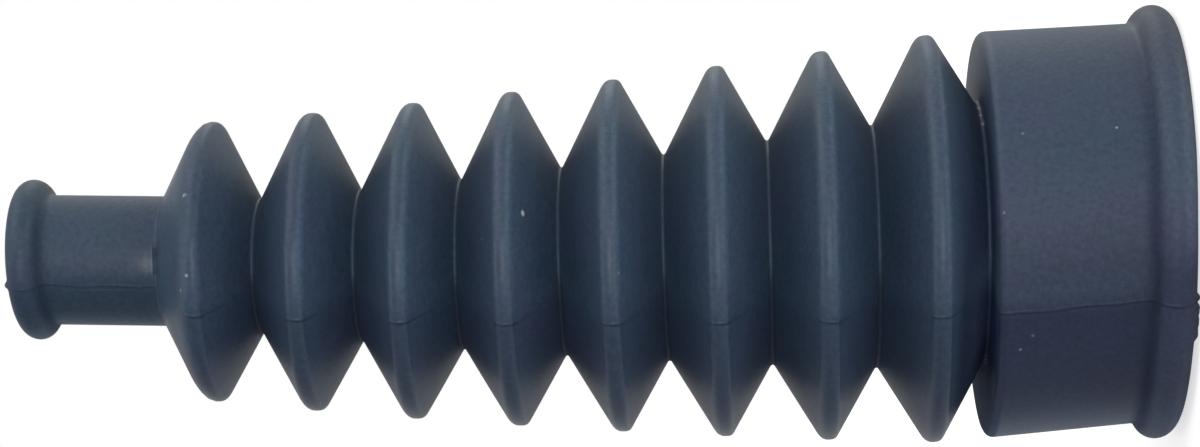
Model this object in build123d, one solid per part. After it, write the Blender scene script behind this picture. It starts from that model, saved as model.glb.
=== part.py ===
from build123d import *
from math import atan2, cos, radians, tan
import os

# Rubber bellows boot, moulded in one piece: a wide cuff with a round bead at its mouth, eight tapering
# folds, and a narrow cuff with a bead of its own.  It stands on the wide cuff's mouth, and Z is its
# axis, with z = 0 on that mouth's face.  Millimetres.

# Wide cuff
large_bore_dia = 47.0
large_cuff_wall = 2.25         # at the mouth; the outside widens from there by the draft
large_cuff_draft = 1.1         # degrees
large_cuff_length = 24.9       # mouth face to the shoulder's outer face
shoulder_wall = 2.2
shoulder_round = 0.45
large_bead_width = 5.15        # mouth face to the bead's foot
large_bead_height = 2.15
large_bead_inset = 0.45        # on the mouth face, its round starts this far inside the cuff's outside

# Folds, the first one beside the narrow cuff
fold_count = 8
fold_pitch = 13.27             # crest to crest
first_crest_dia = 36.6
last_crest_dia = 52.6
first_root_dia = 17.0          # between the first fold and the second
last_root_dia = 30.8           # between the last fold and the one before it
shoulder_root_dia = 32.8       # between the last fold and the shoulder
crest_width = 2.2              # the crest is a shallow arc this wide, with a rounded edge either side
crest_dome = 0.43
crest_edge_round = 0.45
root_lag = 0.3                 # each root stands this much further from the wide cuff than midway
first_flank_run = 6.3          # along the axis, from the first crest to the narrow cuff
last_flank_run = 6.7           # along the axis, from the shoulder to the last crest
flank_wall = 1.5
root_wall = 1.8

# Narrow cuff
small_bore_dia = 12.5
small_cuff_wall = 2.25
small_cuff_length = 19.2       # foot of the first fold to the end face
small_bead_width = 4.1
small_bead_height = 2.0
neck_round = 0.6

# Both cuffs
bead_foot_round = 0.5
mouth_chamfer = 0.4

large_bore_r = large_bore_dia / 2
large_cuff_r = large_bore_r + large_cuff_wall
small_bore_r = small_bore_dia / 2
small_cuff_r = small_bore_r + small_cuff_wall


def large_cuff_outer_r(z):
    """Outside radius of the wide cuff, which grows with height by the draft."""
    return large_cuff_r + z * tan(radians(large_cuff_draft))


def crest(fold):
    """Top (radius, z) of a fold's crest: the radii taper evenly from the first fold to the last."""
    share = (fold - 1) / (fold_count - 1)
    radius = (first_crest_dia + share * (last_crest_dia - first_crest_dia)) / 2
    return radius, large_cuff_length + last_flank_run + (fold_count - fold) * fold_pitch


def root(fold):
    """Root (radius, z) on a fold's wide side: its neighbour's root too, or the shoulder's."""
    if fold == fold_count:
        return shoulder_root_dia / 2, large_cuff_length
    share = (fold - 1) / (fold_count - 2)
    radius = (first_root_dia + share * (last_root_dia - first_root_dia)) / 2
    return radius, crest(fold)[1] - fold_pitch / 2 + root_lag


neck = (small_cuff_r, crest(1)[1] + first_flank_run)
overall_length = neck[1] + small_cuff_length


class Flank:
    """Straight side of a fold, from a root out to the edge of the crest.

    side is 1 for the flank below the crest (towards the wide cuff) and -1 for the one above it.
    """

    def __init__(self, foot, top, side):
        self.foot = foot
        self.side = side
        self.edge = (top[0] - crest_dome, top[1] - side * crest_width / 2)
        self.angle = atan2(self.edge[1] - foot[1], self.edge[0] - foot[0])

    def inner_z(self, radius):
        """Height of the inner face at a radius: the outer line moved in by the flank's wall."""
        shift = self.side * flank_wall / cos(self.angle)
        return self.foot[1] + shift + tan(self.angle) * (radius - self.foot[0])


def flanks(fold):
    """The flank below a fold's crest and the one above it."""
    above = neck if fold == 1 else root(fold - 1)
    return Flank(root(fold), crest(fold), 1), Flank(above, crest(fold), -1)


def inner_crest(fold):
    """Sharp inner corner (radius, z) of a crest, where the inner faces of its flanks meet."""
    below, above = flanks(fold)
    gap = above.inner_z(0) - below.inner_z(0)
    radius = gap / (tan(below.angle) - tan(above.angle))
    return radius, below.inner_z(radius)


# Outer line, from the wide mouth up to the narrow one
wide_bead = [
    (large_cuff_r - large_bead_inset, 0),
    (large_cuff_r + large_bead_height, large_bead_width / 2),
    (large_cuff_outer_r(large_bead_width), large_bead_width),
]
shoulder_corner = (large_cuff_outer_r(large_cuff_length), large_cuff_length)
narrow_bead = [
    (small_cuff_r, overall_length - small_bead_width),
    (small_cuff_r + small_bead_height, overall_length - small_bead_width / 2),
    (small_cuff_r, overall_length),
]

outline = ThreePointArc(*wide_bead)
outline += Polyline(wide_bead[-1], shoulder_corner, root(fold_count))
for fold in range(fold_count, 0, -1):
    below, above = flanks(fold)
    outline += Line(below.foot, below.edge)
    outline += ThreePointArc(below.edge, crest(fold), above.edge)
    outline += Line(above.edge, above.foot)
outline += Line(neck, narrow_bead[0])
outline += ThreePointArc(*narrow_bead)

# Inner line, from the narrow mouth back down to the wide one.  Each root is a short straight land
# inside, and each crest a corner.
inside = [
    narrow_bead[-1],
    (small_bore_r + mouth_chamfer, overall_length),
    (small_bore_r, overall_length - mouth_chamfer),
    (small_bore_r, flanks(1)[1].inner_z(small_bore_r)),
]
for fold in range(1, fold_count + 1):
    inside.append(inner_crest(fold))
    land_r = root(fold)[0] - root_wall
    inside.append((land_r, flanks(fold)[0].inner_z(land_r)))
    if fold < fold_count:
        inside.append((land_r, flanks(fold + 1)[1].inner_z(land_r)))
bore_top = large_cuff_length - shoulder_wall
inside += [
    (land_r, bore_top),
    (large_bore_r, bore_top),
    (large_bore_r, mouth_chamfer),
    (large_bore_r + mouth_chamfer, 0),
    wide_bead[0],
]
outline += Polyline(*inside)
section = make_face(outline)


def round_corner(face, corner, radius):
    """Round the corner of the section that lies nearest to a point."""
    return fillet(face.vertices().sort_by_distance(Vector(*corner))[0], radius)


section = round_corner(section, wide_bead[-1], bead_foot_round)
section = round_corner(section, shoulder_corner, shoulder_round)
for fold in range(1, fold_count + 1):
    for flank in flanks(fold):
        section = round_corner(section, flank.edge, crest_edge_round)
section = round_corner(section, neck, neck_round)
section = round_corner(section, narrow_bead[0], bead_foot_round)

bellows_boot = revolve(Plane.XZ * section, Axis.Z, 360)
bellows_boot.label = "bellows_boot"

os.makedirs("parts", exist_ok=True)
export_step(bellows_boot, "parts/bellows_boot.step")
print(f"overall length {overall_length:.2f} mm, volume {bellows_boot.volume:.0f} cubic mm")
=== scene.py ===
import math

import bpy
import numpy as np
from mathutils import Matrix, Vector


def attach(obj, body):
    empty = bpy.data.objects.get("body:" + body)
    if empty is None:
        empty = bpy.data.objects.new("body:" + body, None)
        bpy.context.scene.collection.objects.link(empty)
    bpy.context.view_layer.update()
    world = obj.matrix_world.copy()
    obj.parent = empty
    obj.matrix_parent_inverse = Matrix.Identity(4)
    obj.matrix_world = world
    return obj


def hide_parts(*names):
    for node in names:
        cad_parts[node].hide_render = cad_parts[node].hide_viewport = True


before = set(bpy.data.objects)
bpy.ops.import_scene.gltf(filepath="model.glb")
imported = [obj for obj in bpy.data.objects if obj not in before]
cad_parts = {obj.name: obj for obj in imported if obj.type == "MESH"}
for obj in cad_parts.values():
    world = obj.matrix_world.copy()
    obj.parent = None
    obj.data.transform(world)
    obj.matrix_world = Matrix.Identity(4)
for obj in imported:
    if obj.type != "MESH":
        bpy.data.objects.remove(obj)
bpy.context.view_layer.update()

# ---------------------------------------------------------------------------------------------------
# The boot: one moulding in soft dark rubber, drawn off a ribbed steel core after it has cured.
# A wide cuff and a narrow one, each with a round bead that keeps its clip on, are joined by eight
# folds that shrink evenly.  Sizes are in metres.
# ---------------------------------------------------------------------------------------------------
mm = 0.001

wide_bore_r = 23.5 * mm
wide_cuff_r = 25.75 * mm             # outside, at the mouth
wide_cuff_draft = math.radians(1.1)
wide_cuff_length = 24.9 * mm
wide_bead_round = 2.6 * mm           # radius of the bead's round section
wide_bead_height = 2.15 * mm
shoulder_wall = 2.2 * mm
shoulder_round = 1.1 * mm

fold_count = 8
fold_pitch = 13.27 * mm
crest_r_first = 18.3 * mm            # the first fold is the one beside the narrow cuff
crest_r_last = 26.3 * mm
root_r_first = 8.5 * mm
root_r_last = 15.4 * mm
shoulder_root_r = 16.4 * mm
crest_width = 2.2 * mm
crest_dome = 0.43 * mm
tight_power = 4.0                    # of a crown's fall towards the wide cuff
soft_power = 2.5                     # of its fall towards the narrow cuff
first_power = 1.9                    # of the same fall on the first fold
first_shoulder = 0.3 * mm            # the first fold's crown is this much wider, towards the narrow cuff
root_lag = 0.3 * mm                  # each root stands this much further from the wide cuff than midway
root_round = 0.3 * mm
first_flank_run = 6.3 * mm
last_flank_run = 6.7 * mm
flank_wall = 1.5 * mm
root_wall = 1.8 * mm
inner_round = 0.5 * mm

narrow_bore_r = 6.25 * mm
narrow_cuff_r = 8.5 * mm
narrow_cuff_length = 19.2 * mm
narrow_bead_round = 2.05 * mm
narrow_bead_height = 2.0 * mm
neck_round = 0.4 * mm
neck_to_ledge = 0.32 * mm            # a low ledge in the narrow cuff, just past its foot

bead_foot_round = 0.9 * mm
mouth_round = 0.4 * mm


def bead(cuff_r, height, section_r, count):
    """Bead section from the mouth face to its foot, as (radius, distance from the mouth).

    A circle of radius section_r touches the mouth face and stands height proud of the cuff.  It turns
    from the face, past the crown, to where a small circle rounds its foot into the cuff.
    """
    centre_r = cuff_r + height - section_r
    foot_r = cuff_r + bead_foot_round
    climb = math.sqrt((section_r + bead_foot_round) ** 2 - (foot_r - centre_r) ** 2)
    meet = math.atan2(climb, foot_r - centre_r)
    turn = np.linspace(-math.pi / 2, meet, count)
    crown = np.stack([centre_r + section_r * np.cos(turn), section_r + section_r * np.sin(turn)], axis=1)
    turn = np.linspace(meet, 0, 5)[1:]
    foot = np.stack([foot_r - bead_foot_round * np.cos(turn),
                     section_r + climb - bead_foot_round * np.sin(turn)], axis=1)
    return np.concatenate([crown, foot])


def corner_arc(back, corner, on, round_r, count):
    """Arc of radius round_r that rounds each corner between the points back and on.

    The two sides make an angle.  The arc's centre lies on its bisector at round_r / sin(angle / 2),
    and the arc sweeps the rest of a half turn.
    """
    back, corner, on = (np.atleast_2d(np.asarray(point, float)) for point in (back, corner, on))
    to_back = (back - corner) / np.linalg.norm(back - corner, axis=1, keepdims=True)
    to_on = (on - corner) / np.linalg.norm(on - corner, axis=1, keepdims=True)
    half = np.arccos(np.clip((to_back * to_on).sum(1), -1, 1)) / 2
    bisector = to_back + to_on
    bisector /= np.linalg.norm(bisector, axis=1, keepdims=True)
    centre = corner + bisector * (round_r / np.sin(half))[:, None]
    touch = corner + to_back * (round_r / np.tan(half))[:, None]
    start = np.arctan2(touch[:, 1] - centre[:, 1], touch[:, 0] - centre[:, 0])
    side = np.sign(to_back[:, 0] * to_on[:, 1] - to_back[:, 1] * to_on[:, 0])
    turn = start[:, None] - (side * (math.pi - 2 * half))[:, None] * np.linspace(0, 1, count)
    return centre[:, None] + round_r * np.stack([np.cos(turn), np.sin(turn)], axis=2)


def between(start, end, shares):
    """Points at the given shares of the way from each start to each end."""
    start, end = np.atleast_2d(start)[:, None], np.atleast_2d(end)[:, None]
    return start + (end - start) * np.asarray(shares)[None, :, None]


# Crest and root of every fold, counted from the wide cuff.  Each fold has a root on either side: the
# shoulder is the first one's lower root, and the neck is the last one's upper root.
step = np.arange(fold_count)
crest_r = crest_r_last + (crest_r_first - crest_r_last) * step / (fold_count - 1)
crest_z = wide_cuff_length + last_flank_run + fold_pitch * step
inner_root_r = np.linspace(root_r_last, root_r_first, fold_count - 1)
inner_root_z = crest_z[:-1] + fold_pitch / 2 + root_lag
neck_z = crest_z[-1] + first_flank_run
boot_length = neck_z + narrow_cuff_length
root_below = np.stack([np.append(shoulder_root_r, inner_root_r),
                       np.append(wide_cuff_length, inner_root_z)], axis=1)
root_above = np.concatenate([root_below[1:], [(narrow_cuff_r, neck_z)]])
edge_below = np.stack([crest_r - crest_dome, crest_z - crest_width / 2], axis=1)
edge_above = np.stack([crest_r - crest_dome, crest_z + crest_width / 2], axis=1)
edge_above[-1, 1] += first_shoulder

# Each side of a crest's crown falls as a power of the way out, and its end lies on the flank's line
# with the flank's slope: tightly rounded towards the wide cuff, softer towards the narrow one, and
# softest on the first fold
flank_tan_below = (edge_below - root_below)[:, 0] / (edge_below - root_below)[:, 1]
flank_tan_above = (edge_above - root_above)[:, 0] / (root_above - edge_above)[:, 1]
power_above = np.append(np.full(fold_count - 1, soft_power), first_power)


def crown_side(edge, flank_tan, power):
    """One side of every crown: radius crest_r - drop * t ** power at crest_z + way * t, t from 1 to 0."""
    reach = np.abs(edge[:, 1] - crest_z) - (crest_r - edge[:, 0]) / flank_tan
    way = reach * power / (power - 1)
    drop = flank_tan * way / power
    share = np.array([1, 0.93, 0.84, 0.72, 0.56, 0.3])
    side = np.sign(edge[:, 1] - crest_z)
    return np.stack([crest_r[:, None] - drop[:, None] * share ** np.reshape(power, (-1, 1)),
                     crest_z[:, None] + (side * way)[:, None] * share], axis=2)


crown_below = crown_side(edge_below, flank_tan_below, np.full(fold_count, tight_power))
crown_above = crown_side(edge_above, flank_tan_above, power_above)[:, ::-1]
apex = np.stack([crest_r, crest_z], axis=1)[:, None]
crown = np.concatenate([crown_below, apex, crown_above], axis=1)

shoulder = (wide_cuff_r + wide_cuff_length * math.tan(wide_cuff_draft), wide_cuff_length)
wide_bead = bead(wide_cuff_r, wide_bead_height, wide_bead_round, 17)
narrow_bead = bead(narrow_cuff_r, narrow_bead_height, narrow_bead_round, 15)
narrow_bead = np.stack([narrow_bead[:, 0], boot_length - narrow_bead[:, 1]], axis=1)[::-1]

before_root = np.concatenate([[shoulder], edge_above[:-1]])
after_neck = np.array([narrow_cuff_r, neck_z + 0.25 * mm])
ledge_z = neck_z + neck_to_ledge
cuff_heights = np.concatenate([ledge_z + np.array([-0.04, 0.04, 0.12, 0.35]) * mm,
                               np.linspace(ledge_z + 1 * mm, narrow_bead[0, 1] - 0.15 * mm, 17)])
narrow_cuff = np.stack([narrow_cuff_r + 0 * cuff_heights, cuff_heights], axis=1)
shoulder_arc = corner_arc(wide_bead[-1], shoulder, root_below[0], shoulder_round, 6)[0]
root_arcs = corner_arc(before_root, root_below, edge_below, root_round, 5)
neck_arc = corner_arc(edge_above[-1], root_above[-1], after_neck, neck_round, 6)[0]
flank_shares = (0.012, 0.05, 0.35, 0.65, 0.95, 0.988)
folds = np.concatenate([
    root_arcs,
    between(root_arcs[:, -1], crown_below[:, 0], flank_shares),
    crown,
    between(crown_above[:, -1], np.concatenate([root_arcs[1:, 0], neck_arc[:1]]), flank_shares),
], axis=1)
outside = np.concatenate([
    wide_bead,
    between(wide_bead[-1], shoulder_arc[0], np.linspace(0.01, 0.99, 22))[0],
    shoulder_arc,
    between(shoulder_arc[-1], root_arcs[0, 0], (0.05, 0.35, 0.65, 0.95))[0],
    folds.reshape(-1, 2),
    neck_arc,
    narrow_cuff,
    narrow_bead,
])

# Inside, from the narrow mouth down: the inner faces of the flanks are the outer ones moved in by the
# wall, they meet in a corner under each crest, and each root is a short straight land
slope_below = (edge_below - root_below)[:, 1] / (edge_below - root_below)[:, 0]
slope_above = (edge_above - root_above)[:, 1] / (edge_above - root_above)[:, 0]
inner_below = root_below[:, 1] - slope_below * root_below[:, 0] + flank_wall * np.hypot(1, slope_below)
inner_above = root_above[:, 1] - slope_above * root_above[:, 0] - flank_wall * np.hypot(1, slope_above)
inner_crest_r = (inner_above - inner_below) / (slope_below - slope_above)
inner_crest = np.stack([inner_crest_r, inner_below + slope_below * inner_crest_r], axis=1)
land_below_r = root_below[:, 0] - root_wall
land_above_r = np.append(land_below_r[1:], narrow_bore_r)
land_below = np.stack([land_below_r, inner_below + slope_below * land_below_r], axis=1)
land_above = np.stack([land_above_r, inner_above + slope_above * land_above_r], axis=1)
bore_top = wide_cuff_length - shoulder_wall
corners = np.concatenate([
    [(narrow_bore_r + 2 * mouth_round, boot_length), (narrow_bore_r, boot_length)],
    np.stack([land_above, inner_crest, land_below], axis=1)[::-1].reshape(-1, 2),
    [(land_below_r[0], bore_top), (wide_bore_r, bore_top)],
    [(wide_bore_r, 0), (wide_bore_r + 2 * mouth_round, 0)],
])
arcs = corner_arc(corners[:-2], corners[1:-1], corners[2:], inner_round, 4)
arcs[[0, -1]] = corner_arc(corners[[0, -3]], corners[[1, -2]], corners[[2, -1]], mouth_round, 4)
straights = between(arcs[:-1, -1], arcs[1:, 0], (0.05, 0.95))
inside = np.concatenate([np.concatenate([arcs[:-1], straights], axis=1).reshape(-1, 2), arcs[-1]])

# Angles round the axis, measured from the side that faces -Y towards -X.  The mould's two halves meet
# on a line either side of the boot, and columns gather there to carry the flash.
parting_angle = math.radians(21.3)
second_line = math.radians(5.0)      # a second, fainter line runs beside the first on the narrow cuff
feather_from, feather_to = 23.5, 34  # degrees: a feather of flash was left on this part of the wide rim
even = np.linspace(0, 2 * math.pi, 150, endpoint=False)
near_line = np.radians([-1.5, -1.0, -0.7, -0.45, -0.2, 0, 0.2, 0.45, 0.7, 1.0, 1.5])
feather_columns = np.radians(np.arange(feather_from, feather_to + 2, 0.9))
around = [even, parting_angle + near_line, parting_angle + math.pi + near_line,
          parting_angle + second_line + near_line[1:-1], feather_columns]
around = np.sort(np.concatenate(around) % (2 * math.pi))
around = around[np.diff(around, append=around[0] + 2 * math.pi) > math.radians(0.12)]

# Every point of the skin: one row for each point of the section, one column for each angle
section = np.concatenate([outside, inside])
is_outside = np.concatenate([np.ones(len(outside)), np.zeros(len(inside))])[:, None]
plain_r = section[:, 0][:, None]
height = section[:, 1][:, None]
from_front = (around[None, :] + math.pi) % (2 * math.pi) - math.pi
degrees = np.degrees(from_front)


def window(value, low, high, soft):
    """1 between low and high and 0 outside, with a smooth step as wide as soft across each end.

    The step is 3 s**2 - 2 s**3, where s is the share of the way across it.  An end that lies far beyond
    the values leaves that side open.
    """
    rise = np.clip((value - low) / soft + 0.5, 0, 1)
    fall = np.clip((high - value) / soft + 0.5, 0, 1)
    both = np.minimum(rise, fall)
    return both * both * (3 - 2 * both)


# The parting line isn't quite straight: two waves, a short and a long one, carry it a little round the
# boot and back
wander_reach = 0.09 * mm
wander = wander_reach * (np.sin(height / (1.3 * mm)) + np.sin(height / (3.7 * mm) + 2)) / plain_r


def line_ridge(angle, width, ring_r):
    """Height from 0 to 1 of a thin ridge that runs along the boot at one angle.

    It is exp(-(away / width) ** 2), where away is the distance from the line round a ring of radius
    ring_r.
    """
    away = (from_front - angle - wander + math.pi) % (2 * math.pi) - math.pi
    return np.exp(-((away * ring_r) / width) ** 2)


# Flash: a thin raised line, strongest on the cuffs and the crests, all but trimmed off on the flanks,
# and uneven along its length
flank_flash = 0.03 * mm
wide_flash = 0.07 * mm
narrow_flash = 0.05 * mm
crest_flash = 0.06 * mm
flash_width = 0.14 * mm
second_flash = 0.05 * mm
second_flash_width = 0.10 * mm
on_wide = window(height, -1, wide_cuff_length, 0.4 * mm)
on_narrow = window(height, neck_z, 1, 0.4 * mm)
on_cuffs = on_wide + on_narrow
fold_r = np.interp(height, crest_z, crest_r)
on_crests = window(plain_r - fold_r, -0.9 * mm, 1, 0.6 * mm) * (1 - on_cuffs)
on_flanks = window(plain_r - fold_r, -4.5 * mm, 1, 2 * mm)
uneven = 0.75 + 0.25 * np.sin(height / (2.1 * mm)) * np.sin(height / (5.3 * mm) + 1)
flash_height = uneven * (flank_flash * on_flanks + wide_flash * on_wide + narrow_flash * on_narrow
                         + crest_flash * on_crests)
flash = flash_height * (line_ridge(parting_angle, flash_width, plain_r)
                        + line_ridge(parting_angle + math.pi, flash_width, plain_r))
beside = window(height, neck_z + 2 * mm, boot_length - 7 * mm, 3 * mm)
flash += second_flash * beside * line_ridge(parting_angle + second_line, second_flash_width, plain_r)

# Mould step: the narrow cuff ends in a low ledge just before the first fold, on its front only
ledge_depth = 0.2 * mm
front = window(degrees, -13, 12, 5)
ledge = -ledge_depth * front * window(height, neck_z - 1 * mm, ledge_z, 0.08 * mm)
radius = plain_r + is_outside * (flash + ledge)

# The set the rubber has taken since it came off the core, small next to its walls: the folds have
# crept a little apart in the middle, the centre line bows along X, the valleys sag to one side, and
# each ring leans a little.  A lean lifts a ring's +X side and a turn lifts its +Y side.
creep = 0.35 * mm
along_folds = np.clip((height - crest_z[0]) / (crest_z[-1] - crest_z[0]), 0, 1)
rest_z = height + creep * np.sin(math.pi * along_folds)

stations = np.concatenate([[0, wide_cuff_length], crest_z, [neck_z, boot_length]])
leans = [0, 0, 0.1, 0.1, 0.4, 0.7, 0.5, -0.4, -0.3, 0, 0, 1.4]            # degrees
turns = [0, 1.2, 1.2, 0.5, -0.1, -0.25, -0.4, -0.55, -0.55, -0.55, -0.25, -1.65]
lean = np.radians(np.interp(height, stations, leans))
turn = np.radians(np.interp(height, stations, turns))

wide_slope = math.tan(math.radians(3.18))
narrow_slope = math.tan(math.radians(-1.87))
fold_span = neck_z - wide_cuff_length
bow_start = 1.6 * mm
sag = 0.55 * mm


def bow(z):
    """Sideways place of the centre line at a height.

    It starts at bow_start, falls by wide_slope along the wide cuff, by a slope that changes evenly from
    wide_slope to narrow_slope along the folds, and by narrow_slope along the narrow cuff.
    """
    up_wide = np.clip(z, 0, wide_cuff_length)
    up_folds = np.clip(z - wide_cuff_length, 0, fold_span)
    up_narrow = np.clip(z - neck_z, 0, None)
    turned = up_folds * wide_slope + up_folds**2 / (2 * fold_span) * (narrow_slope - wide_slope)
    return bow_start - up_wide * wide_slope - turned - up_narrow * narrow_slope


valley = np.interp(height, root_below[1:, 1], root_below[1:, 0])
depth = np.clip((fold_r - plain_r) / (fold_r - valley), 0, 1)     # 0 on a crest, 1 in a root
in_folds = window(height, crest_z[0], crest_z[-1], 1 * mm)
x_offset = -radius * np.sin(around)
y_offset = -radius * np.cos(around)
x = bow(height) - sag * depth * in_folds + x_offset
z = rest_z + np.tan(lean) * x_offset + np.tan(turn) * y_offset

# The wide mouth's rim: trimmed a little short over its front and its lower side, with a feather of
# flash left standing beside the parting line.  A nub stands on the line itself at either mouth.
nub_width = 0.35 * mm
wide_nub = 0.38 * mm
narrow_nub = 0.35 * mm
rim_reach = 0.35 * mm
trim_degrees = [-180, -90, -45, -20, 0, 18, 30, 40, 90, 120, 150, 180]
trim_heights = np.array([0, 0, 0.05, 0.12, 0.32, 0.38, 0.42, 0.5, 0.52, 0.4, 0.1, 0]) * mm
trim = np.interp(degrees, trim_degrees, trim_heights) * np.clip(1 - height / wide_cuff_length, 0, 1)
at_rim = np.exp(-(height / rim_reach) ** 2) * is_outside
ragged = (0.36 + 0.05 * np.sin(from_front * 90) + 0.03 * np.sin(from_front * 210)) * mm
feather = ragged * window(degrees, feather_from, feather_to, 1.5)
on_line = line_ridge(parting_angle, nub_width, radius)
z = z + trim - at_rim * (feather + wide_nub * on_line)
z = z + narrow_nub * on_line * window(height, boot_length - 0.25 * mm, 1, 0.1 * mm)
z = np.where(height < 1 * mm, np.maximum(z, 0), z)
points = np.stack([x, y_offset, z], axis=2)


def ring_mesh(name, points):
    """Mesh of a grid of points (along, around, 3) that closes on itself both ways."""
    rows, columns = points.shape[:2]
    index = np.arange(rows * columns).reshape(rows, columns)
    on = np.roll(index, -1, axis=1)
    quads = np.stack([index, np.roll(index, -1, axis=0), np.roll(on, -1, axis=0), on], axis=2)
    mesh = bpy.data.meshes.new(name)
    mesh.from_pydata(points.reshape(-1, 3), [], quads.reshape(-1, 4))
    mesh.shade_smooth()
    piece = bpy.data.objects.new(name, mesh)
    bpy.context.scene.collection.objects.link(piece)
    return piece


boot = ring_mesh("boot_moulding", points)

# How the skin's colour changes from place to place, much of it painted light and shade.  Each shade is
# a share from 0 to 1 for every point, and the colour that the plain rubber is multiplied by where that
# share is 1.  First come painted light overhead and under the cuffs, and painted shade under the folds.
on_fold_skin = (1 - on_cuffs) * is_outside
low_side = window(degrees, 10, 114.6, 15)
underneath = window(degrees, 60, 140, 30)
overhead = window(degrees, -140, -45, 50)
shades = [(overhead * on_cuffs, (1.2, 1.14, 1.0)),
          (overhead * (1 - on_cuffs), (1.28, 1.2, 1.03)),
          (underneath * on_cuffs, (1.5, 1.58, 1.58)),
          (underneath * (1 - on_cuffs), (0.85, 0.88, 0.94))]

# The wide cuff is more violet towards its mouth.  Painted shade darkens the front below the parting line,
# and the wide cuff's front down to the line, and a painted shadow lies under the line itself.
toward_mouth = np.clip(1.2 - height / (wide_cuff_length * 1.3), 0, 1)
below_line = np.clip(radius * (from_front - parting_angle) / (3 * mm) + 0.65, 0, 1)
below_line = below_line * window(degrees, -57, 66, 24)
above_line = window(degrees, 0, math.degrees(parting_angle), 24)
on_wide_face = window(height, 2.4 * wide_bead_height, wide_cuff_length + 1 * mm, 1 * mm)
from_crest = (height - crest_z[0] + fold_pitch / 2) % fold_pitch - fold_pitch / 2
facing_wide = window(from_crest, -fold_pitch / 2, 0, 0.5 * mm)
# Painted shadow along the lower side of the flash line
shadow_under_line = line_ridge(parting_angle + 0.2 * mm / radius, 0.15 * mm, radius)
line_seen = on_crests + 0.6 * facing_wide * window(depth, -1, 0.45, 0.2) * (1 - on_cuffs)
shades += [(toward_mouth, (0.95, 0.87, 0.91)),
           (above_line * on_wide, (0.78, 0.75, 0.82)),
           (below_line * on_wide_face, (0.40, 0.44, 0.60)),
           (below_line * on_narrow, (0.50, 0.65, 0.72)),
           (on_narrow * (1 - below_line), (0.85, 0.88, 0.87)),
           (below_line * (1 - on_cuffs), (0.84, 0.82, 0.88)),
           (below_line * on_crests, (0.79, 0.85, 0.87)),
           (shadow_under_line * on_wide, (0.5, 0.5, 0.55)),
           (shadow_under_line * on_narrow, (0.75, 0.75, 0.75)),
           (shadow_under_line * line_seen, (0.55, 0.55, 0.6))]

# Painted highlights on the crests, which are also rubbed smoother: strongest along their wide side and
# least on the first folds, whose crests get painted shade, with painted shade on the flanks beside them and
# painted light on the first fold's flank by the neck
rubbed_and_highlit = np.exp(-((plain_r - fold_r) / (0.9 * mm)) ** 2) * on_fold_skin
first_folds = np.clip((height - crest_z[-4]) / (2 * fold_pitch), 0, 1) * window(degrees, -74.5, -11.5, 20.1)
painted_crest_highlight = window(from_crest, -1.35 * mm, -0.5 * mm, 0.3 * mm) * window(degrees, -51.6, 11.5, 28.6)
painted_crest_highlight = painted_crest_highlight * np.clip((crest_z[-1] - height) / fold_pitch, 0, 1) * on_fold_skin
beside_crest = facing_wide * window(depth, 0.11, 0.36, 0.14) * on_fold_skin
shaded_flank = (1 - facing_wide) * window(depth, 0.1, 0.66, 0.2) * on_fold_skin
shaded_flank = shaded_flank * np.clip((crest_z[-1] - height) / (2 * fold_pitch), 0, 1)
first_flank = window(height, crest_z[-1] + 0.6 * mm, neck_z + 1 * mm, 1.5 * mm) * is_outside
shades += [(rubbed_and_highlit, (1.06, 1.06, 1.04)),
           (rubbed_and_highlit * first_folds, (0.8, 0.83, 0.86)),
           (painted_crest_highlight, (1.35, 1.35, 1.3)),
           (beside_crest, (0.84, 0.85, 0.88)),
           (shaded_flank, (0.80, 0.81, 0.83)),
           (first_flank, (1.15, 1.15, 1.12))]

# Painted shade deep in the folds, darkest in the roots on the low side, and painted light in the gap at
# the shoulder
deep = np.exp(-((depth - 0.62) / 0.25) ** 2) * in_folds * (1 - 0.8 * low_side)
shoulder_foot = np.exp(-((height - wide_cuff_length) / (0.5 * mm)) ** 2) * is_outside
shoulder_foot = shoulder_foot * (plain_r < 17.5 * mm)
root_low = (window(depth, 0.95, 2, 0.05) * in_folds + shoulder_foot) * low_side
in_gap = window(height, wide_cuff_length - 0.1 * mm, crest_z[0] - 3 * mm, 0.15 * mm) * is_outside
in_gap = in_gap * window(plain_r, 0, wide_cuff_r - 0.6 * mm, 0.8 * mm)
low_gap = window(height, wide_cuff_length - 0.1 * mm, wide_cuff_length + 2.2 * mm, 1 * mm) * in_gap
low_gap = low_gap * window(degrees, 10, 50, 20)
shades += [(deep, (0.78, 0.78, 0.82)),
           (root_low, (0.4, 0.4, 0.45)),
           (in_gap, (1.35, 1.28, 1.4)),
           (low_gap, (2.1, 2.1, 1.8))]

# Painted shade in the feet of both beads.  Painted light on the wide bead's upper side and painted shade on
# its low side and overhead, a painted highlight along its mouth and along the ledge's edge, and a painted
# shadow beyond the ledge.
wide_foot = wide_bead[-3, 1]
narrow_foot = narrow_bead[2, 1]
feet = (np.exp(-((height - wide_foot) / (0.8 * mm)) ** 2)
        + np.exp(-((height - narrow_foot) / (0.6 * mm)) ** 2))
feet = feet * is_outside * (1 - overhead)
on_wide_bead = window(height, -1, wide_foot, 1 * mm) * is_outside
mouth_edge = window(height, -1, 1.8 * mm, 1.3 * mm) * is_outside
ledge_edge = front * window(height, ledge_z, ledge_z + 0.25 * mm, 0.08 * mm) * is_outside
beyond_ledge = front * window(height, ledge_z - 1.3 * mm, ledge_z, 0.05 * mm) * is_outside
shades += [(feet, (0.66, 0.66, 0.73)),
           (on_wide_bead * (1 - low_side), (1.25, 1.24, 1.18)),
           (on_wide_bead * low_side, (0.8, 0.76, 0.86)),
           (on_wide_bead * overhead, (0.88, 0.82, 0.78)),
           (mouth_edge, (1.25, 1.15, 1.05)),
           (mouth_edge * (1 - low_side) * (1 - overhead), (1.45, 1.45, 1.4)),
           (ledge_edge, (1.5, 1.5, 1.4)),
           (beyond_ledge, (0.6, 0.62, 0.66))]
tone = np.ones(points.shape)
for share, colour in shades:
    tone *= 1 - np.broadcast_to(share, points.shape[:2])[..., None] * (1 - np.array(colour))


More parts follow.
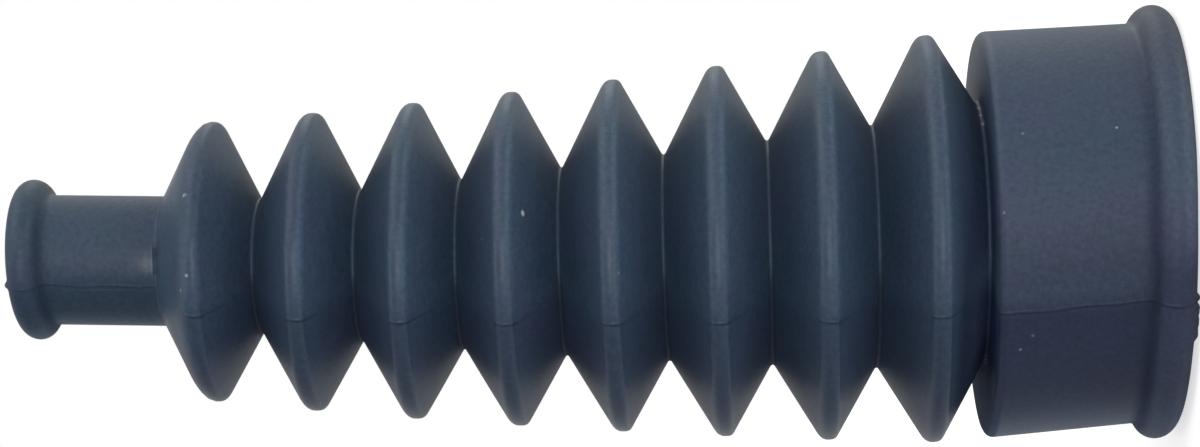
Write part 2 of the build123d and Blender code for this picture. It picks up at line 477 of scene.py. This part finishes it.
def on_skin(angle, up):
    """Point on the outside of the boot, at an angle in degrees and a height in mm.

    It is found in proportion between the nearest two rows, and then between the nearest two columns.
    """
    row = np.interp(up * mm, outside[:, 1], np.arange(len(outside)))
    below, share = int(row), row % 1
    ring = points[below] * (1 - share) + points[below + 1] * share
    turned = math.radians(angle)
    return [np.interp(turned, around, ring[:, axis], period=2 * math.pi) for axis in range(3)]


# Painted light: soft pale patches on both sides of the neck, above the ledge and in the foot of the wide
# bead, each (angle in degrees, height and reach in mm, strength)
painted_light_patches = [(-59.1, 128.6, 2.3, 2.0), (53.3, 129.4, 2.2, 1.24), (2.2, 131.7, 1.1, 0.9),
         (0.4, 132.5, 1.5, 0.35), (-73.6, 5.8, 1.6, 0.7)]
painted_light_colour = np.array([1.6, 1.0, 0.7])
for angle, up, reach, strength in painted_light_patches:
    away = np.linalg.norm(points - on_skin(angle, up), axis=2)
    tone *= 1 + strength * np.exp(-(away / (reach * mm)) ** 2)[..., None] * painted_light_colour

# Roughness: satin all over, smoother where rubbed, and dry in the beads' feet, in the low roots and on
# the shoulder underneath
satin_roughness = 0.40
upper = np.clip((5 - degrees) / 25, 0, 1)
dry_face = window(height, wide_cuff_length - 0.9 * mm, wide_cuff_length + 0.3 * mm, 0.2 * mm)
dry_face = dry_face * underneath * is_outside
roughness = (satin_roughness + 0.03 * upper + rubbed_and_highlit * (0.08 * upper - 0.12) + 0.06 * on_wide_bead
             + 0.35 * feet + 0.25 * root_low + 0.45 * dry_face)


def paint(piece, name, kind, values):
    """Keep a number or a colour for each point of a ring mesh, for its material to read."""
    kept = piece.data.attributes.new(name, kind, "POINT")
    field = "value" if kind == "FLOAT" else "color"
    kept.data.foreach_set(field, np.asarray(values, np.float32).ravel())


paint(boot, "roughness", "FLOAT", roughness)
paint(boot, "tone", "FLOAT_COLOR", np.concatenate([tone, np.ones(points.shape[:2] + (1,))], axis=2))


def add_node(tree, kind, inputs=None, **settings):
    """New shader node: its settings are made first, then each input is linked to a socket or set."""
    node = tree.nodes.new("ShaderNode" + kind)
    for setting, value in settings.items():
        setattr(node, setting, value)
    for slot, value in (inputs or {}).items():
        if isinstance(value, bpy.types.NodeSocket):
            tree.links.new(value, node.inputs[slot])
        else:
            node.inputs[slot].default_value = value
    return node


# Rubber: slate blue, drifting between teal and violet in soft patches, mottled by a fine grain
teal = (0.0330, 0.0605, 0.0960, 1)
violet = (0.0395, 0.0570, 0.1010, 1)
rubber = bpy.data.materials.new("dark_satin_rubber")
rubber.use_nodes = True
tree = rubber.node_tree
shader = tree.nodes["Principled BSDF"]
shader.inputs["IOR"].default_value = 1.5
shader.inputs["Specular IOR Level"].default_value = 0.3
place = add_node(tree, "TexCoord").outputs["Object"]
patches = add_node(tree, "TexNoise", {"Vector": place, "Scale": 130, "Detail": 3}).outputs["Fac"]
hue = add_node(tree, "ValToRGB", {"Fac": patches})
for end, (position, colour) in zip(hue.color_ramp.elements, ((0.3, teal), (0.7, violet))):
    end.position = position
    end.color = colour
grain = add_node(tree, "TexNoise", {"Vector": place, "Scale": 1500, "Detail": 4, "Roughness": 0.65})
grain = grain.outputs["Fac"]
mottle = add_node(tree, "MapRange", {"Value": grain, "From Min": 0.25, "From Max": 0.75,
                                     "To Min": 0.72, "To Max": 1.28})
# The kept tone carries the painted light and shade worked out for the mesh, with its own tints
kept_tone = add_node(tree, "Attribute", attribute_name="tone")
grained = add_node(tree, "VectorMath", {0: kept_tone.outputs["Color"], "Scale": mottle.outputs["Result"]},
                   operation="SCALE")
tinted = add_node(tree, "VectorMath", {0: hue.outputs["Color"], 1: grained.outputs[0]},
                  operation="MULTIPLY")

# Dust, first as specks finer than a hair all over: one cell in twelve of a cell pattern holds one
cells = add_node(tree, "TexVoronoi", {"Vector": place, "Scale": 330})
fine = add_node(tree, "MapRange", {"Value": cells.outputs["Distance"], "From Max": 0.05,
                                   "To Min": 0.35, "To Max": 0})
cell_number = add_node(tree, "SeparateColor", {0: cells.outputs["Color"]})
few = add_node(tree, "Math", {0: cell_number.outputs[0], 1: 1 - 1 / 12}, operation="GREATER_THAN")
dust_and_glints = add_node(tree, "Math", {0: fine.outputs["Result"], 1: few.outputs[0]}, operation="MULTIPLY")
dust_and_glints = dust_and_glints.outputs[0]

# Then the larger specks on the front, a short scratch on a fold and painted glints at the shoulder's
# root, each (angle in degrees, height and radius in mm, strength)
specks = [(-18.5, 82.2, 0.55, 1.3), (-27.7, 9.7, 0.26, 0.7), (-27.8, 21.4, 0.30, 0.3),
          (-6.0, 24.2, 0.30, 0.3), (28.7, 20.6, 0.30, 0.25), (32.8, 22.1, 0.32, 0.35),
          (5.1, 70.3, 0.25, 0.4), (-8.9, 87.4, 0.25, 0.25), (-28.7, 125.5, 0.40, 0.8),
          (-28.5, 125.2, 0.31, 0.33), (4.8, 124.9, 0.36, 0.7), (11.3, 125.9, 0.32, 0.4)]
scratch = [(-67.3, 87.2, 0.35, 0.6), (-62.6, 87.1, 0.35, 0.6), (-57.6, 87.0, 0.35, 0.6)]
painted_glints = [(-69.8, 25.2, 0.50, 1.0), (-62.0, 25.2, 0.45, 0.8), (-54.6, 25.0, 0.50, 0.9),
             (70.1, 25.0, 0.35, 0.4), (66.3, 25.0, 0.35, 0.35), (62.4, 25.1, 0.30, 0.3)]
for angle, up, speck_r, strength in specks + scratch + painted_glints:
    apart = add_node(tree, "VectorMath", {0: place, 1: on_skin(angle, up)}, operation="DISTANCE")
    speck = add_node(tree, "MapRange", {"Value": apart.outputs["Value"], "From Max": speck_r * mm,
                                        "To Min": strength, "To Max": 0}, interpolation_type="SMOOTHSTEP")
    dust_and_glints = add_node(tree, "Math", {0: dust_and_glints, 1: speck.outputs["Result"]}, operation="MAXIMUM").outputs[0]
# The painted glints are drawn in the dust's pale grey, mixed in with the dust
dust_and_glint_colour = (0.42, 0.45, 0.48, 1)
dusted_and_glinted = add_node(tree, "Mix", {"Factor": dust_and_glints, "A": tinted.outputs[0], "B": dust_and_glint_colour}, data_type="RGBA")
tree.links.new(dusted_and_glinted.outputs["Result"], shader.inputs["Base Color"])

# Finish: the roughness kept with the mesh, a little uneven, and the grain raised slightly from the skin
kept_roughness = add_node(tree, "Attribute", attribute_name="roughness")
uneven_satin = add_node(tree, "Math", {0: patches, 1: 0.08, 2: kept_roughness.outputs["Fac"]},
                        operation="MULTIPLY_ADD")
tree.links.new(uneven_satin.outputs[0], shader.inputs["Roughness"])
bump = add_node(tree, "Bump", {"Height": grain, "Strength": 0.6, "Distance": 0.06 * mm})
tree.links.new(bump.outputs["Normal"], shader.inputs["Normal"])

boot.data.materials.append(rubber)
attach(boot, "root")
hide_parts("bellows_boot")

# ---------------------------------------------------------------------------------------------------
# Floor: the pale top of a light table under the boot, wide enough to run out of sight.  It lets the
# lamps under it shine through, and takes the boot's soft shadow.
# ---------------------------------------------------------------------------------------------------
floor_r = 3.0
turn_round = np.linspace(0, 2 * math.pi, 96, endpoint=False)
rim = np.stack([floor_r * np.cos(turn_round), floor_r * np.sin(turn_round), 0 * turn_round], axis=1)
floor_mesh = bpy.data.meshes.new("floor")
floor_mesh.from_pydata(rim, [], [range(len(rim))])
floor = bpy.data.objects.new("floor", floor_mesh)
bpy.context.scene.collection.objects.link(floor)
floor.visible_shadow = False


def white_seen(tree, gloss_share):
    """How much of a white backdrop a ray sees.

    It is 1 from the camera or through glass, gloss_share in a reflection, and 0 for the rest.
    """
    path = add_node(tree, "LightPath")
    in_gloss = add_node(tree, "Math", {0: path.outputs["Is Glossy Ray"], 1: gloss_share},
                        operation="MULTIPLY")
    seen = path.outputs["Is Camera Ray"]
    for ray in (in_gloss.outputs[0], path.outputs["Is Transmission Ray"]):
        seen = add_node(tree, "Math", {0: seen, 1: ray}, operation="MAXIMUM").outputs[0]
    return seen


# White paper: matte, with a glow that makes up for the light it lacks, less of it close to the boot
paper_white = (0.8, 0.8, 0.8, 1)
near, glow_near = 0.1, 0.64          # distance from the boot, and the glow's strength there
far, glow_far = 0.6, 0.85
glow_in_gloss = 0.15
paper = bpy.data.materials.new("white_paper")
paper.use_nodes = True
tree = paper.node_tree
tree.nodes.clear()
spot = add_node(tree, "TexCoord")
from_boot = add_node(tree, "VectorMath", {0: spot.outputs["Object"]}, operation="LENGTH")
lift = add_node(tree, "MapRange", {"Value": from_boot.outputs["Value"], "From Min": near, "From Max": far,
                                   "To Min": glow_near, "To Max": glow_far},
                interpolation_type="SMOOTHSTEP")
glow_seen = add_node(tree, "Math", {0: lift.outputs["Result"], 1: white_seen(tree, glow_in_gloss)},
                     operation="MULTIPLY")
glow = add_node(tree, "Emission", {"Strength": glow_seen.outputs[0]})
matte = add_node(tree, "BsdfDiffuse", {"Color": paper_white})
both = add_node(tree, "AddShader", {0: matte.outputs[0], 1: glow.outputs[0]})
add_node(tree, "OutputMaterial", {"Surface": both.outputs[0]})
floor.data.materials.append(paper)

# ---------------------------------------------------------------------------------------------------
# Light: a white room all round and seven large soft lamps: one in front beside the camera, three to
# its right, one behind, one overhead and one underneath.  The two low ones shine through the floor.
# ---------------------------------------------------------------------------------------------------
white = (1, 1, 1, 1)
room_strength = 0.38
backdrop_strength = 1.0
gloss_least, gloss_most = 0.05, 0.7  # share of the backdrop in reflections that look towards -X and +X
world = bpy.data.worlds.new("white_room")
bpy.context.scene.world = world
world.use_nodes = True
tree = world.node_tree
tree.nodes.clear()
room = add_node(tree, "Background", {"Color": white, "Strength": room_strength})
backdrop = add_node(tree, "Background", {"Color": white, "Strength": backdrop_strength})
way = add_node(tree, "TexCoord")
split = add_node(tree, "SeparateXYZ", {0: way.outputs["Generated"]})
reflected = add_node(tree, "MapRange", {"Value": split.outputs["X"], "From Min": -1,
                                        "To Min": gloss_least, "To Max": gloss_most})
choose = add_node(tree, "MixShader", {0: white_seen(tree, reflected.outputs["Result"]),
                                      1: room.outputs[0], 2: backdrop.outputs[0]})
add_node(tree, "OutputWorld", {"Surface": choose.outputs[0]})

lamp_distance = 0.8
lamp_size = 0.45


def soft_lamp(name, round_x, along, power):
    """Square area lamp aimed at the boot's middle.

    Its direction is turned from -Y by the angle round_x towards +X, then by the angle along towards +Z.
    """
    round_x, along = math.radians(round_x), math.radians(along)
    direction = Vector((math.cos(along) * math.sin(round_x), -math.cos(along) * math.cos(round_x),
                        math.sin(along)))
    data = bpy.data.lights.new(name, "AREA")
    data.size = lamp_size
    data.energy = power
    lamp = bpy.data.objects.new(name, data)
    lamp.location = Vector((0, 0, boot_length / 2)) + direction * lamp_distance
    lamp.rotation_euler = direction.to_track_quat("Z", "Y").to_euler()
    bpy.context.scene.collection.objects.link(lamp)


soft_lamp("front", 0, 0, 1.8)
soft_lamp("narrow_side", 45, 40, 1.1)
soft_lamp("wide_side", 45, -40, 2.25)
soft_lamp("top", 90, 40, 0.8)
soft_lamp("back", 130, 0, 0.7)
soft_lamp("narrow_end", 0, 75, 0.6)
soft_lamp("wide_end", 0, -75, 1.0)

# ---------------------------------------------------------------------------------------------------
# Camera: level with the boot's middle and rolled a quarter turn, so that the boot lies across the
# view with its narrow end to the left.
# ---------------------------------------------------------------------------------------------------
view_distance = 406.7 * mm           # to the plane of the wide mouth's middle, along the view
mouth_right = 73.92 * mm             # from the middle of the view to the mouth
mouth_up = -0.07 * mm
bow_seen = bow_start - 0.52 * mm     # that mouth is seen with its middle this far along X
yaw = math.radians(2.83)             # the narrow end stands further off
roll = math.radians(1.22)
lens = 94.6                          # millimetres, on a 36 mm wide sensor

axis_x = Vector((-math.sin(roll), math.cos(roll), 0))
axis_z = Vector((-math.cos(roll) * math.cos(yaw), -math.sin(roll) * math.cos(yaw), -math.sin(yaw)))
row_to_camera = Matrix((axis_x, axis_z.cross(axis_x), axis_z)).transposed()
camera_to_row = row_to_camera.transposed()
mouth = Vector((bow_seen, 0, 0))
camera_data = bpy.data.cameras.new("camera")
camera_data.lens = lens
camera_data.clip_start = 0.01
camera = bpy.data.objects.new("camera", camera_data)
camera.location = mouth - camera_to_row @ Vector((mouth_right, mouth_up, -view_distance))
camera.rotation_euler = camera_to_row.to_euler()
bpy.context.scene.collection.objects.link(camera)
bpy.context.scene.camera = camera
bpy.context.scene.view_settings.view_transform = "Standard"
